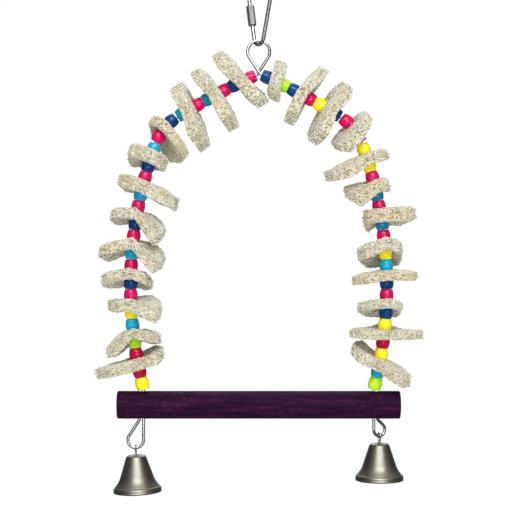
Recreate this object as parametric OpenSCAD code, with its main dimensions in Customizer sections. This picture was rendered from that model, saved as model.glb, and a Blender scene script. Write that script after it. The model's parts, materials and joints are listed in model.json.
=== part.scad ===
// Hanging swing for a cage bird: a wooden perch hung from a wire arch that is strung
// with plastic beads and chips of dried loofah, with a bell under each end of the perch
// and a pear-shaped screw link at the top. Millimetres, +Z up, the arch in the XZ plane.
// The origin is the inside top of the link's wide bow, where the cage hook bears.

/* [Screw link] */
// Diameter of the link's steel rod
link_d = 2.5; // [2:0.1:3]
// Centreline radius of the link's wide top bow
link_wide_r = 11.5; // [10:0.5:13]
// Centreline radius of the link's narrow bottom bow
link_narrow_r = 5; // [4.6:0.1:5.6]
// Distance between the centres of the two bows
link_reach = 27.3; // [26:0.1:30]
// Turn of the link about its own length, seen from above
link_yaw = 52; // [40:1:60]
// Lean of the link to the right
link_lean = 1.5; // [0:0.5:5]
// Opening in the link's left side that the sleeve nut closes
link_gap = 4; // [3:0.1:4.5]
// Distance from the wide bow down to the opening
link_gap_drop = 6.2; // [5.5:0.1:7]
// Length of the sleeve nut
nut_len = 14; // [12:0.5:15]
// Width of the sleeve nut across its flats
nut_flats = 4.7; // [4.3:0.1:5.5]
// Distance from the wide bow down to the closed sleeve nut
nut_drop = 3.2; // [2.5:0.1:4]
// Clearance between the sleeve nut's bore and the rod, each side
nut_play = 0.1; // [0.06:0.02:0.15]

/* [Wire arch] */
// Diameter of the arch's wire
wire_d = 2; // [1.8:0.1:2.2]
// Centreline radius of the hanging loop at the top
loop_r = 7.2; // [6.8:0.1:8]
// Angle of the loop's two sides from the vertical, where they run to the crossing
throat_angle = 33; // [28:1:38]
// Straight run of the wire from the loop to the crossing
throat_len = 11; // [10:0.5:13]
// Clear space between the two strands where they cross
crossing_gap = 0.5; // [0.4:0.1:0.8]
// Bend radius of the wire under the crossing
neck_r = 4.5; // [4:0.1:6]
// Radius of the gently curved roof of the arch
roof_r = 420; // [380:1:460]
// Bend radius of the shoulder
shoulder_r = 34; // [31:1:38]
// Turn of the wire at the shoulder
shoulder_turn = 38; // [36:1:40]
// Radius of the long side of the arch
side_r = 272; // [250:1:290]
// Lean of the wire, outwards going up, where it leaves the perch
foot_lean = 14; // [12:0.5:16]
// Bend radius at the foot of the wire
foot_r = 10; // [8:1:12]

/* [Perch] */
// Diameter of the wooden perch
perch_d = 18; // [15:0.5:19]
// From the wire to the end of the perch
perch_end = 17; // [13:0.1:20]
// Rounding of the perch's end edges
perch_edge = 1; // [0.6:0.1:1.6]
// Diameter of the perch's two holes for the wire
perch_hole_d = 5.4; // [5.2:0.1:6]

/* [Eyes under the perch] */
// Centreline radius of the left eye
left_eye_r = 5.1; // [4.8:0.1:5.6]
// Lean of the left eye's tail from the vertical
left_tail_angle = 33; // [31:1:38]
// Turn of the left eye out of the arch's plane
left_eye_yaw = 0; // [-10:1:10]
// Centreline radius of the right eye
right_eye_r = 4.1; // [4:0.1:4.6]
// Lean of the right eye's tail from the vertical
right_tail_angle = 48; // [44:1:52]
// Turn of the right eye out of the arch's plane
right_eye_yaw = 24; // [10:1:30]
// Clear space between the two strands inside the perch's hole
strand_gap = 0.4; // [0.3:0.1:0.5]
// Bend radius where the tail turns up into the hole
tail_r = 3; // [2.6:0.1:3.4]
// Length of the tail inside the hole
tail_len = 6; // [4:0.5:9]

/* [Beads] */
// Largest diameter of a bead
bead_d = 9; // [8.4:0.1:9.2]
// Length of a bead
bead_len = 7.7; // [7.3:0.1:8.1]
// Diameter of a bead's end faces
bead_face_d = 7.2; // [6.4:0.1:7.4]
// Diameter of a bead's hole
bead_hole_d = 4; // [3.8:0.1:4.4]
// Clearance between neighbours on the wire
string_gap = 0.3; // [0.25:0.05:0.4]

/* [Loofah chips] */
// Reach of a plain chip from the wire
chip_reach = 20; // [18:0.5:21]
// Thickness of a chip between the beads
chip_pinch = 3; // [2.6:0.1:3.4]
// Thickness of a chip away from the wire
chip_body = 8; // [7:0.1:8.5]
// Thickness of a chip at its rim
chip_rim = 6.6; // [5.5:0.1:7.2]
// Radius of a chip's flat middle that the beads press on
chip_hub_r = 5; // [4.9:0.1:5.4]
// Diameter of the hole that the wire makes in a chip
chip_hole_d = 2.8; // [2.6:0.1:3.2]

/* [Bells] */
// Outer diameter of a bell's mouth
bell_mouth_d = 31.5; // [29:0.5:33]
// Outer diameter of a bell's flat crown
bell_crown_d = 13.5; // [12.5:0.1:14.5]
// Height of a bell
bell_h = 24.2; // [23:0.1:26]
// Wall of a bell
bell_wall = 0.8; // [0.6:0.1:1]
// Half angle of a bell's waist
bell_taper = 16; // [14:0.5:17]
// Height of the waist's lower end above the mouth
bell_waist_h = 11; // [10:0.1:12]
// Radius of the flare under the waist
bell_flare_r = 17; // [15:0.5:19]
// Height of the lip band above the mouth
bell_lip_h = 4.6; // [4:0.1:5]
// Radius of the lip band's rounding
bell_lip_r = 2.6; // [2:0.1:3]
// Diameter of the hole in a bell's crown
bell_hole_d = 3.6; // [3.4:0.1:4]
// Lean of the left bell on its hanger
left_bell_lean = -2.5; // [-4:0.5:4]
// Lean of the right bell on its hanger
right_bell_lean = 0; // [-2:0.5:2]

/* [Bell hangers and clappers] */
// Diameter of the hanger's wire
hanger_d = 1.1; // [1:0.05:1.2]
// Clearance between the hanger's top loop and the eye's wire
hanger_play = 0.3; // [0.25:0.05:0.4]
// Slope of the hanger's top loop where it closes in
hanger_slope = 25; // [20:1:30]
// Bend radius of the hanger's shoulders
hanger_bend_r = 1.1; // [1:0.05:1.3]
// Clear space between the hanger's two legs
hanger_leg_gap = 0.4; // [0.3:0.05:0.5]
// Drop from the eye's wire to the top of the bell
crown_drop = 4.7; // [4.6:0.1:6]
// Spread of the hanger's legs under the crown
hanger_spread = 40; // [35:1:45]
// Radius of the hanger's lower loop
hanger_loop_r = 2.6; // [2.4:0.1:3]
// Diameter of the clapper's wire
clapper_wire_d = 1; // [0.8:0.05:1.2]
// Diameter of the clapper's ball
clapper_ball_d = 5.5; // [4.5:0.1:6]
// Distance from the lower loop to the middle of the ball
clapper_len = 12; // [10.5:0.1:12.5]

/* [Hidden] */
// How far a cut runs past the surface that it opens
overrun = 1;
// Length and swell of a collar in a thick wire and swell of a ball in a thin one,
// as shares of the wire's diameter
collar_share = 0.1;
swell_share = 0.02;
ball_share = 0.03;
// Facets of a long arc for each millimetre of its radius
long_arc_share = 3;
// Pieces of each string, counted down from the crossing
chips_per_side = 12;
bead_cones = 6;
shoulder_chip = 4;
sides = [-1, 1];
$fn = 48;

// Bead colours as the photograph shows them, down each side from the crossing
pink = [0.78, 0.08, 0.36];
crimson = [0.66, 0.05, 0.27];
navy = [0.05, 0.22, 0.47];
teal = [0.02, 0.48, 0.66];
turquoise = [0.12, 0.64, 0.79];
lime = [0.70, 0.88, 0.16];
yellow = [0.96, 0.89, 0.16];
left_beads = [
    pink, navy, pink, teal, pink, turquoise, navy, pink, turquoise, navy, pink, turquoise, pink,
    navy, pink, turquoise, pink, navy, pink, yellow, turquoise, lime, crimson, crimson, yellow];
right_beads = [
    navy, lime, navy, pink, yellow, navy, pink, pink, yellow, yellow, pink, teal, pink,
    teal, pink, yellow, turquoise, navy, pink, navy, yellow, crimson, yellow, turquoise, lime];

// Each row shapes one chip: its thickness as a share of chip_body, the turn of its ragged outline
// in degrees, then its reach and its rise along the wire in eight directions, as shares of
// chip_reach. The directions go round from straight out, by the front, straight in and the back.
left_chip_shares = [
    [1.02, 20, [1.12, 1.10, 0.70, 0.98, 0.98, 0.88, 0.70, 1.02],
        [-0.34, -0.40, -0.10, 0.14, 0.30, 0.34, 0.02, -0.24]],
    [1.00, 95, [0.96, 0.95, 0.62, 1.20, 1.30, 1.20, 0.65, 0.90],
        [-0.22, -0.25, -0.06, -0.08, 0.00, 0.10, 0.05, -0.08]],
    [1.00, 160, [0.88, 0.92, 0.70, 1.15, 1.32, 1.15, 0.70, 0.90],
        [0.05, -0.12, -0.12, -0.32, -0.24, -0.05, 0.08, 0.15]],
    [0.72, 240, [0.50, 0.55, 0.62, 1.00, 1.10, 1.10, 0.80, 0.55],
        [-0.04, 0.02, 0.08, -0.10, -0.25, -0.60, -0.40, -0.15]],
    [1.06, 310, [0.72, 0.80, 0.70, 0.62, 0.52, 0.60, 0.70, 0.80],
        [-0.06, 0.08, 0.04, -0.06, -0.10, -0.10, -0.15, -0.26]],
    [1.00, 35, [0.76, 0.80, 0.70, 1.05, 1.30, 1.00, 0.70, 0.80],
        [0.04, 0.02, -0.04, -0.24, -0.34, -0.25, -0.05, -0.12]],
    [0.80, 120, [0.82, 0.85, 0.66, 1.05, 1.00, 0.85, 0.75, 0.85],
        [-0.14, -0.02, 0.06, -0.74, -0.42, -0.08, -0.10, -0.28]],
    [0.85, 200, [1.05, 1.05, 0.66, 1.12, 1.05, 1.00, 0.75, 1.05],
        [-0.35, -0.20, 0.08, -0.70, -0.40, -0.08, -0.05, -0.50]],
    [0.80, 280, [0.95, 0.95, 0.65, 0.72, 0.66, 0.75, 0.75, 0.95],
        [-0.22, -0.10, 0.06, -0.15, -0.30, -0.38, -0.28, -0.36]],
    [0.92, 60, [0.68, 0.75, 0.66, 1.05, 1.02, 0.95, 0.70, 0.75],
        [-0.02, -0.02, -0.02, -0.48, -0.18, 0.06, 0.00, -0.12]],
    [0.78, 145, [0.92, 0.90, 0.62, 0.90, 0.86, 0.85, 0.70, 0.90],
        [-0.54, -0.48, 0.04, -0.18, -0.28, -0.32, -0.12, -0.56]],
    [0.84, 225, [1.37, 1.20, 0.60, 0.92, 0.86, 0.90, 0.62, 1.15],
        [-0.12, -0.10, -0.04, 0.02, 0.18, 0.28, 0.08, -0.10]]];
right_chip_shares = [
    [0.90, 300, [0.64, 0.70, 0.68, 0.58, 0.54, 0.56, 0.66, 0.65],
        [0.10, 0.05, -0.04, -0.16, -0.24, -0.20, -0.04, 0.02]],
    [0.88, 15, [1.06, 0.90, 0.60, 1.00, 1.04, 0.95, 0.65, 0.85],
        [-0.26, -0.20, 0.02, -0.02, -0.05, -0.10, -0.08, -0.22]],
    [0.95, 85, [0.96, 0.95, 0.70, 1.10, 1.20, 1.10, 0.75, 0.95],
        [-0.12, -0.30, -0.15, -0.28, -0.16, 0.02, 0.10, 0.06]],
    [0.82, 170, [0.62, 0.72, 0.72, 0.80, 0.86, 0.80, 0.75, 0.64],
        [0.06, -0.10, -0.34, -0.42, -0.06, 0.06, 0.12, 0.14]],
    [0.82, 250, [0.70, 0.70, 0.66, 1.15, 1.42, 1.10, 0.70, 0.70],
        [-0.12, -0.12, -0.10, -0.34, -0.22, -0.12, -0.02, -0.10]],
    [1.00, 325, [0.42, 0.55, 0.70, 0.95, 0.94, 0.90, 0.75, 0.55],
        [-0.10, -0.05, -0.05, -0.38, 0.02, 0.04, 0.00, -0.05]],
    [1.06, 50, [1.07, 0.95, 0.72, 0.66, 0.52, 0.62, 0.75, 0.95],
        [-0.12, -0.10, -0.02, 0.02, 0.02, -0.26, -0.12, -0.26]],
    [1.00, 130, [0.50, 0.60, 0.75, 0.95, 0.90, 0.85, 0.85, 0.60],
        [-0.25, -0.15, 0.06, -0.20, -0.25, -0.52, -0.55, -0.52]],
    [0.70, 210, [0.98, 0.95, 0.65, 1.00, 1.12, 1.00, 0.70, 0.95],
        [-0.08, -0.08, -0.04, -0.16, -0.18, -0.16, 0.00, -0.06]],
    [0.66, 290, [0.50, 0.58, 0.70, 0.85, 0.88, 0.85, 0.80, 0.55],
        [-0.12, -0.02, 0.06, -0.04, -0.15, -0.35, -0.36, -0.30]],
    [0.66, 65, [1.16, 1.00, 0.56, 1.00, 1.16, 0.95, 0.60, 0.90],
        [0.10, 0.04, -0.05, -0.10, -0.12, -0.06, 0.22, 0.08]],
    [0.88, 150, [1.08, 1.05, 0.65, 1.00, 0.96, 0.95, 0.70, 1.00],
        [-0.38, -0.46, -0.12, 0.08, 0.30, 0.44, 0.05, -0.22]]];
chip_ways = 8;
// Where a chip's rings lie between its flat middle and its rim
ring_shares = [0.22, 0.6, 1];
// How far each ring has risen towards the chip's full bend
bend_shares = [0.16, 0.58, 1];
// Thickness of the ring next to the flat middle, as a share of the thickness further out
first_ring_share = 0.8;
// Depth of the rim's long waves and of its short ones, as shares of the reach
long_wave_share = 0.04;
short_wave_share = 0.03;
long_waves = 3;
short_waves = 5;
chip_sectors = 16;

// Small vector and frame helpers. A frame's third axis runs along the wire,
// and its first axis points to the inside of the next bend.
function unit(v) = v / norm(v);
function column(m, i) = [for (row = [0:2]) m[row][i]];
function spot(m) = column(m, 3);
function from_axes(x, y, z, p) = [
    [x[0], y[0], z[0], p[0]],
    [x[1], y[1], z[1], p[1]],
    [x[2], y[2], z[2], p[2]],
    [0, 0, 0, 1]];
function moved(p) = from_axes([1, 0, 0], [0, 1, 0], [0, 0, 1], p);
function about_y(a) = from_axes([cos(a), 0, -sin(a)], [0, 1, 0], [sin(a), 0, cos(a)], [0, 0, 0]);
function about_z(a) = from_axes([cos(a), sin(a), 0], [-sin(a), cos(a), 0], [0, 0, 1], [0, 0, 0]);
function arc_degrees(len, r) = len / r * 180 / PI;
function arc_length(r, a) = r * a * PI / 180;

// One stretch of wire is [straight run, bend radius, bend angle, direction it bends towards].
function ahead(m, len) = m * moved([0, 0, len]);
function facing(m, towards) = let (
        z = column(m, 2),
        x = unit(towards - z * (towards * z)))
    from_axes(x, cross(z, x), z, spot(m));
function bent(m, r, a) = m * moved([r, 0, 0]) * about_y(a) * moved([-r, 0, 0]);
function past(m, s) = s[1] > 0 ? bent(facing(ahead(m, s[0]), s[3]), s[1], s[2]) : ahead(m, s[0]);
function frames(m, path, i = 0) = i == len(path) ? [m] : [m, each frames(past(m, path[i]), path, i + 1)];
function path_length(path) = len(path) == 0 ? 0 : [for (s = path) s[0] + arc_length(s[1], s[2])] *
    [for (s = path) 1];
function frame_at(m, path, at, i = 0) = let (
        s = path[i],
        around = arc_length(s[1], s[2]),
        last = i == len(path) - 1)
    at <= s[0] || (last && around == 0) ? ahead(m, at) :
    at <= s[0] + around || last ?
        bent(facing(ahead(m, s[0]), s[3]), s[1], arc_degrees(at - s[0], s[1])) :
    frame_at(past(m, s), path, at - s[0] - around, i + 1);

module bend_of_wire(r, a, d) {
    multmatrix(from_axes([-1, 0, 0], [0, 0, 1], [0, 1, 0], [r, 0, 0]))
        rotate_extrude(angle = a, $fn = max($fn, ceil(r * long_arc_share)))
            translate([r, 0])
                circle(d = d);
}

// A collar closes each place where two stretches of a thick wire meet
module collar(m, d) {
    multmatrix(ahead(m, -collar_share * d))
        cylinder(h = 2 * collar_share * d, d = d * (1 + swell_share));
}

module bent_wire(start, path, d) {
    steps = frames(start, path);
    for (i = [0:len(path) - 1]) {
        if (path[i][0] > 0)
            multmatrix(ahead(steps[i], i > 0 ? -collar_share * d : 0))
                cylinder(
                    h = path[i][0] + collar_share * d * ((i > 0 ? 1 : 0) + (path[i][1] > 0 ? 1 : 0)),
                    d = d * (1 + swell_share));
        if (path[i][0] == 0 && i > 0)
            collar(steps[i], d);
        if (path[i][1] > 0)
            multmatrix(facing(ahead(steps[i], path[i][0]), path[i][3]))
                bend_of_wire(path[i][1], path[i][2], d);
    }
}

// A ball closes each place where two stretches of a thin wire meet
module thin_bent_wire(start, path, d) {
    steps = frames(start, path);
    for (i = [0:len(path) - 1]) {
        middle = ahead(steps[i], path[i][0]);
        if (path[i][0] > 0) {
            multmatrix(steps[i]) cylinder(h = path[i][0], d = d);
            multmatrix(middle) sphere(d = d * (1 + ball_share));
        }
        if (i > 0)
            multmatrix(steps[i]) sphere(d = d * (1 + ball_share));
        multmatrix(facing(middle, path[i][3])) bend_of_wire(path[i][1], path[i][2], d);
    }
}

// The screw link lies in the XZ plane of its own frame, leaning and turned about the origin.
link_frame = about_y(link_lean) * about_z(-link_yaw);
link_slant = asin((link_wide_r - link_narrow_r) / link_reach);
link_side = link_reach * cos(link_slant);
link_wide_z = link_d / 2 - link_wide_r;
link_down = [sin(link_slant), 0, -cos(link_slant)];
link_out = [-cos(link_slant), 0, -sin(link_slant)];
link_side_top = [0, 0, link_wide_z] + link_wide_r * link_out;
link_start = link_frame * from_axes(
    cross([0, 1, 0], link_down), [0, 1, 0], link_down,
    link_side_top + link_down * (link_gap_drop + link_gap));
link_across = column(link_frame, 0);
link_path = [
    [link_side - link_gap_drop - link_gap, link_narrow_r, 180 - 2 * link_slant, link_across],
    [link_side, link_wide_r, 180 + 2 * link_slant, -link_across],
    [link_gap_drop, 0, 0, link_across]];
nut_frame = link_frame * from_axes(
    cross([0, 1, 0], link_down), [0, 1, 0], link_down, link_side_top + link_down * nut_drop);
nut_travel = link_gap_drop + link_gap - nut_drop + string_gap;

// The arch hangs on the narrow bow. Its two halves are alike, turned about the loop's middle.
link_foot = link_wide_z - link_reach - link_narrow_r;
hang = spot(link_frame * moved([0, 0, link_foot]));
apex = hang + [0, 0, (link_d + wire_d) / 2 + string_gap];

// Where each piece sits, measured along the wire up from the top of the perch
bend_room = bead_face_d / 2 * bead_len / shoulder_r;
pitch = 2 * bead_len + chip_pinch + 3 * string_gap;
seat = string_gap + bead_face_d / 2 * sin(foot_lean);
function group_at(k) = seat + (chips_per_side - k) * pitch;
function lower_bead_at(k) = group_at(k) + bead_len / 2 +
    (k < shoulder_chip - 1 ? 4 : k < shoulder_chip ? 3 : 0) * bend_room;
function upper_bead_at(k) = group_at(k) + bead_len * 3 / 2 + string_gap +
    (k < shoulder_chip ? 4 : k == shoulder_chip ? 1 : 0) * bend_room;
function chip_at(k) = group_at(k) + 2 * (bead_len + string_gap) + chip_pinch / 2 +
    (k < shoulder_chip ? 4 : k == shoulder_chip ? 2 : 0) * bend_room;
top_bead_at = chip_at(1) + chip_pinch / 2 + string_gap + bead_len / 2;
neck_at = top_bead_at + bead_len / 2;

// The wire below the crossing: roof, shoulder, side, foot
shoulder_run = arc_length(shoulder_r, shoulder_turn);
foot_run = arc_length(foot_r, foot_lean);
roof_run = neck_at - chip_at(shoulder_chip) - shoulder_run / 2;
side_run = chip_at(shoulder_chip) - shoulder_run / 2 - foot_run;
roof_turn = arc_degrees(roof_run, roof_r);
side_turn = arc_degrees(side_run, side_r);
roof_angle = roof_turn + shoulder_turn + side_turn - foot_lean;

// The loop's halves lean apart, front and back, so that their strands clear at the crossing
loop_drop = loop_r * (1 + sin(throat_angle)) + throat_len * cos(throat_angle);
crossing_lean = asin((wire_d + crossing_gap) / 2 / loop_drop);
loop_start = moved(apex) * from_axes(
    [0, -sin(crossing_lean), -cos(crossing_lean)],
    [0, -cos(crossing_lean), sin(crossing_lean)],
    [-1, 0, 0],
    [0, 0, 0]);
loop_below = column(loop_start, 0);
function arch_path(yaw) = let (
        out = [cos(yaw), sin(yaw), 0],
        roof_way = sin(roof_angle) * out + [0, 0, -cos(roof_angle)],
        loop_path = [[0, loop_r, 90 + throat_angle, loop_below]],
        throat_way = column(frames(loop_start, loop_path)[1], 2))
    [
        each loop_path,
        [throat_len + wire_d / 4, neck_r, acos(throat_way * roof_way), roof_way],
        [0, roof_r, roof_turn, -out],
        [0, shoulder_r, shoulder_turn, -out],
        [0, side_r, side_turn, -out],
        [0, foot_r, foot_lean, out]];
straight_foot = spot(frame_at(loop_start, arch_path(0), path_length(arch_path(0))));
arch_yaw = atan2(apex[1] - straight_foot[1], straight_foot[0] - apex[0]);
half_path = arch_path(arch_yaw);
half_length = path_length(half_path);
foot = frame_at(loop_start, half_path, half_length);
function on_wire(up) = frame_at(loop_start, half_path, half_length - up);

// The right half is drawn as it stands, and the left half is turned half way round the loop.
function half_turn(side) = moved([apex[0], apex[1], 0]) * about_z(side > 0 ? 0 : 180) *
    moved([-apex[0], -apex[1], 0]);

// The perch, and the eyes that the wire is bent into under it
strand_pitch = wire_d + strand_gap;
perch_z = spot(foot)[2] - perch_d / 2;
perch_len = 2 * (spot(foot)[0] - apex[0] + perch_end);
function eye_r(side) = side > 0 ? right_eye_r : left_eye_r;
function tail_angle(side) = side > 0 ? right_tail_angle : left_tail_angle;
function eye_way(side) = let (a = arch_yaw + (side > 0 ? right_eye_yaw : left_eye_yaw)) [cos(a), sin(a), 0];
function eye_width(side) = eye_r(side) * (1 + cos(tail_angle(side))) - strand_pitch;
function eye_drop(side) = string_gap + eye_width(side) / tan(tail_angle(side)) +
    eye_r(side) * sin(tail_angle(side));
function eye_path(side) = [
    [perch_d + eye_drop(side), eye_r(side), 180 + tail_angle(side), eye_way(side)],
    [eye_width(side) / sin(tail_angle(side)) - tail_r * tan(tail_angle(side) / 2),
        tail_r, tail_angle(side), [0, 0, 1]],
    [tail_len, 0, 0, [0, 0, 1]]];
function hole_spot(side) = spot(half_turn(side) * moved(spot(foot) + eye_way(side) * strand_pitch / 2));

// A bell hangs at the bottom of its eye. Its frame's X axis runs along the eye's wire there.
function bell_pivot(side) = spot(foot) + [0, 0, -perch_d - eye_drop(side) - eye_r(side)] +
    eye_way(side) * eye_r(side);
function bell_lean(side) = side > 0 ? right_bell_lean : left_bell_lean;
function bell_frame(side) = half_turn(side) * moved(bell_pivot(side)) *
    about_z(arch_yaw + (side > 0 ? right_eye_yaw : left_eye_yaw)) * about_y(side * bell_lean(side));

// The hanger is bent from one wire in the YZ plane of the bell's frame
hanger_loop_top_r = wire_d / 2 + hanger_play + hanger_d / 2;
hanger_leg_x = (hanger_d + hanger_leg_gap) / 2;
hanger_close = (hanger_loop_top_r * cos(hanger_slope) - hanger_leg_x -
    hanger_bend_r * (1 - cos(hanger_slope))) / sin(hanger_slope);
hanger_leg_top = -hanger_loop_top_r * sin(hanger_slope) - hanger_close * cos(hanger_slope) -
    hanger_bend_r * sin(hanger_slope);
hanger_leg_bottom = -crown_drop - bell_wall - string_gap;
hanger_open = (hanger_loop_r * cos(hanger_spread) - hanger_leg_x -
    hanger_bend_r * (1 - cos(hanger_spread))) / sin(hanger_spread);
hanger_way = [0, 1, 0];
hanger_start = from_axes([0, 0, -1], [-1, 0, 0], hanger_way, [0, 0, hanger_loop_top_r]);
hanger_path = [
    [0, hanger_loop_top_r, 90 + hanger_slope, [0, 0, -1]],
    [hanger_close, hanger_bend_r, hanger_slope, hanger_way],
    [hanger_leg_top - hanger_leg_bottom, hanger_bend_r, hanger_spread, hanger_way],
    [hanger_open, hanger_loop_r, 90 + hanger_spread, -hanger_way]];
hanger_end = frame_at(hanger_start, hanger_path, path_length(hanger_path));
hanger_foot = spot(hanger_end)[2];

// The clapper's ring goes round the bottom of the hanger
clapper_ring_r = (hanger_d + clapper_wire_d) / 2 + hanger_play;

// Points along an arc about a centre, for a turned outline
arc_steps = 8;
function arc_points(centre, r, from, to) = [for (i = [0:arc_steps])
    let (a = from + (to - from) * i / arc_steps) centre + r * [cos(a), sin(a)]];

// A bell's outline from the middle of its crown to its mouth, drawn in by a wall
function bell_outline(wall) = let (
        crown_r = bell_crown_d / 2 - wall * cos(bell_taper),
        top = bell_h - wall,
        round_r = max(2 * bell_wall - wall, bell_wall / 2),
        waist_r = bell_crown_d / 2 + (bell_h - bell_waist_h) * tan(bell_taper) -
            wall / cos(bell_taper),
        flare_r = bell_flare_r + wall,
        flare = [waist_r, bell_waist_h] + flare_r * [cos(bell_taper), sin(bell_taper)],
        lip_z = bell_lip_h - bell_lip_r,
        lip = [bell_mouth_d / 2 - bell_lip_r, lip_z],
        lip_r = bell_lip_r - wall,
        flare_end = 180 + asin((flare[1] - bell_lip_h + wall / 2) / flare_r))
    [
        [0, top],
        each arc_points([crown_r - round_r, top - round_r], round_r, 90, bell_taper),
        each arc_points(flare, flare_r, 180 + bell_taper, flare_end),
        each arc_points(lip, lip_r, 60, 0),
        [bell_mouth_d / 2 - wall, 0],
        [0, 0]];

module bell_shell(side) {
    color([0.55, 0.53, 0.47])
    multmatrix(bell_frame(side))
    translate([0, 0, -crown_drop - bell_h])
    difference() {
        rotate_extrude() polygon(bell_outline(0));
        translate([0, 0, -overrun])
            cylinder(d = bell_mouth_d - 2 * bell_wall, h = overrun);
        rotate_extrude() polygon(bell_outline(bell_wall));
        cylinder(d = bell_hole_d, h = bell_h + overrun);
    }
}

module bell_hanger(side) {
    color([0.72, 0.72, 0.70])
    multmatrix(bell_frame(side))
    for (turn = [0, 180])
        rotate([0, 0, turn]) thin_bent_wire(hanger_start, hanger_path, hanger_d);
}

module bell_clapper(side) {
    color([0.60, 0.58, 0.52])
    multmatrix(bell_frame(side))
    translate([0, 0, hanger_foot]) {
        rotate([90, 0, 0])
            rotate_extrude() translate([clapper_ring_r, 0]) circle(d = clapper_wire_d);
        translate([0, 0, -clapper_len])
            cylinder(d = clapper_wire_d, h = clapper_len - clapper_ring_r);
        translate([0, 0, -clapper_len])
            sphere(d = clapper_ball_d);
    }
}

module quick_link() {
    color([0.62, 0.63, 0.64])
    bent_wire(link_start, link_path, link_d);
}

module link_nut() {
    color([0.50, 0.50, 0.50])
    multmatrix(nut_frame)
    difference() {
        intersection() {
            cylinder(d = nut_flats / cos(30), h = nut_len, $fn = 6);
            rotate_extrude() nut_profile();
        }
        translate([0, 0, -overrun])
            cylinder(d = link_d + 2 * nut_play, h = nut_len + 2 * overrun);
    }
}

module nut_profile() {
    round_r = nut_flats / 4;
    corner_r = nut_flats / 2 / cos(30);
    square([corner_r - round_r, nut_len]);
    translate([0, round_r]) square([corner_r, nut_len - 2 * round_r]);
    for (z = [round_r, nut_len - round_r])
        translate([corner_r - round_r, z]) circle(r = round_r);
}

module wire_arch() {
    color([0.74, 0.75, 0.77])
    for (side = sides)
        multmatrix(half_turn(side))
            bent_wire(loop_start, concat(half_path, eye_path(side)), wire_d);
}

module perch() {
    color([0.18, 0.08, 0.19])
    difference() {
        translate([apex[0] - perch_len / 2, apex[1], perch_z])
            rotate([0, 90, 0])
                rotate_extrude() perch_profile();
        for (side = sides)
            translate(hole_spot(side) + [0, 0, -perch_d - overrun])
                cylinder(d = perch_hole_d, h = perch_d + 2 * overrun);
    }
}

module perch_profile() {
    square([perch_d / 2 - perch_edge, perch_len]);
    translate([0, perch_edge]) square([perch_d / 2, perch_len - 2 * perch_edge]);
    for (z = [perch_edge, perch_len - perch_edge])
        translate([perch_d / 2 - perch_edge, z]) circle(r = perch_edge);
}

// A barrel-shaped bead about its middle, with its hole along Z. Its side is a stack of short
// cones along an arc.
module bead() {
    bulge = (bead_d - bead_face_d) / 2;
    round_r = (pow(bead_len / 2, 2) + pow(bulge, 2)) / (2 * bulge);
    lean = asin(bead_len / 2 / round_r);
    rotate_extrude()
        polygon([
            [bead_hole_d / 2, -bead_len / 2],
            for (i = [0:bead_cones])
                let (t = lean * (2 * i / bead_cones - 1))
                [bead_d / 2 - round_r + round_r * cos(t), round_r * sin(t)],
            [bead_hole_d / 2, bead_len / 2]]);
}

module strung_bead(side, at, i) {
    color(side > 0 ? right_beads[i] : left_beads[i])
    multmatrix(half_turn(side) * on_wire(at)) bead();
}

module top_bead(side) {
    strung_bead(side, top_bead_at, 0);
}

module bead_pair(side, k) {
    strung_bead(side, upper_bead_at(k), 2 * k - 1);
    strung_bead(side, lower_bead_at(k), 2 * k);
}

// A chip is a bent slab: a flat middle, then rings that swing up or down to a ragged rim
function chip_way(a, side) = (side > 0 ? 360 - a : a) * chip_ways / 360;
function all_round(row, way) = let (
        i = floor(way),
        f = (1 - cos(180 * (way - i))) / 2)
    row[i % chip_ways] * (1 - f) + row[(i + 1) % chip_ways] * f;
function chip_radius(s, a, side) = chip_reach * all_round(s[2], chip_way(a, side)) *
    (1 + long_wave_share * sin(long_waves * a + s[1]) +
        short_wave_share * sin(short_waves * a + 2 * s[1]));
function chip_rise(s, a, side) = chip_reach * all_round(s[3], chip_way(a, side));
function chip_thick(s, ring) = s[0] *
    (ring == len(ring_shares) - 1 ? chip_rim : chip_body * (ring == 0 ? first_ring_share : 1));
function chip_points(s, side, up) = [
    [0, 0, up * chip_pinch / 2],
    for (i = [0:chip_sectors - 1])
        let (a = 360 / chip_sectors * i)
        [chip_hub_r * cos(a), chip_hub_r * sin(a), up * chip_pinch / 2],
    for (ring = [0:len(ring_shares) - 1], i = [0:chip_sectors - 1])
        let (
            a = 360 / chip_sectors * i,
            full = chip_radius(s, a, side),
            rise = chip_rise(s, a, side),
            r = chip_hub_r + (full - chip_hub_r) * ring_shares[ring],
            steep = sqrt(1 + pow(rise / full, 2)))
        [r * cos(a), r * sin(a), rise * bend_shares[ring] + up * chip_thick(s, ring) * steep / 2]];
// Triangles of one face, its points numbered from first, and of the rim that joins two faces
function ring_point(first, ring, i) = first + 1 + ring * chip_sectors + i % chip_sectors;
function face_triangles(first) = [
    for (i = [0:chip_sectors - 1])
        [first, ring_point(first, 0, i + 1), ring_point(first, 0, i)],
    for (ring = [0:len(ring_shares) - 1], i = [0:chip_sectors - 1])
        each [
            [ring_point(first, ring, i), ring_point(first, ring, i + 1), ring_point(first, ring + 1, i)],
            [ring_point(first, ring, i + 1), ring_point(first, ring + 1, i + 1),
                ring_point(first, ring + 1, i)]]];
function flipped(triangles) = [for (t = triangles) [t[0], t[2], t[1]]];
function rim_triangles(top, bottom) = [
    for (i = [0:chip_sectors - 1])
        let (
            a = ring_point(top, len(ring_shares), i),
            b = ring_point(top, len(ring_shares), i + 1),
            c = ring_point(bottom, len(ring_shares), i),
            d = ring_point(bottom, len(ring_shares), i + 1))
        each [[a, b, c], [b, d, c]]];

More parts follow.
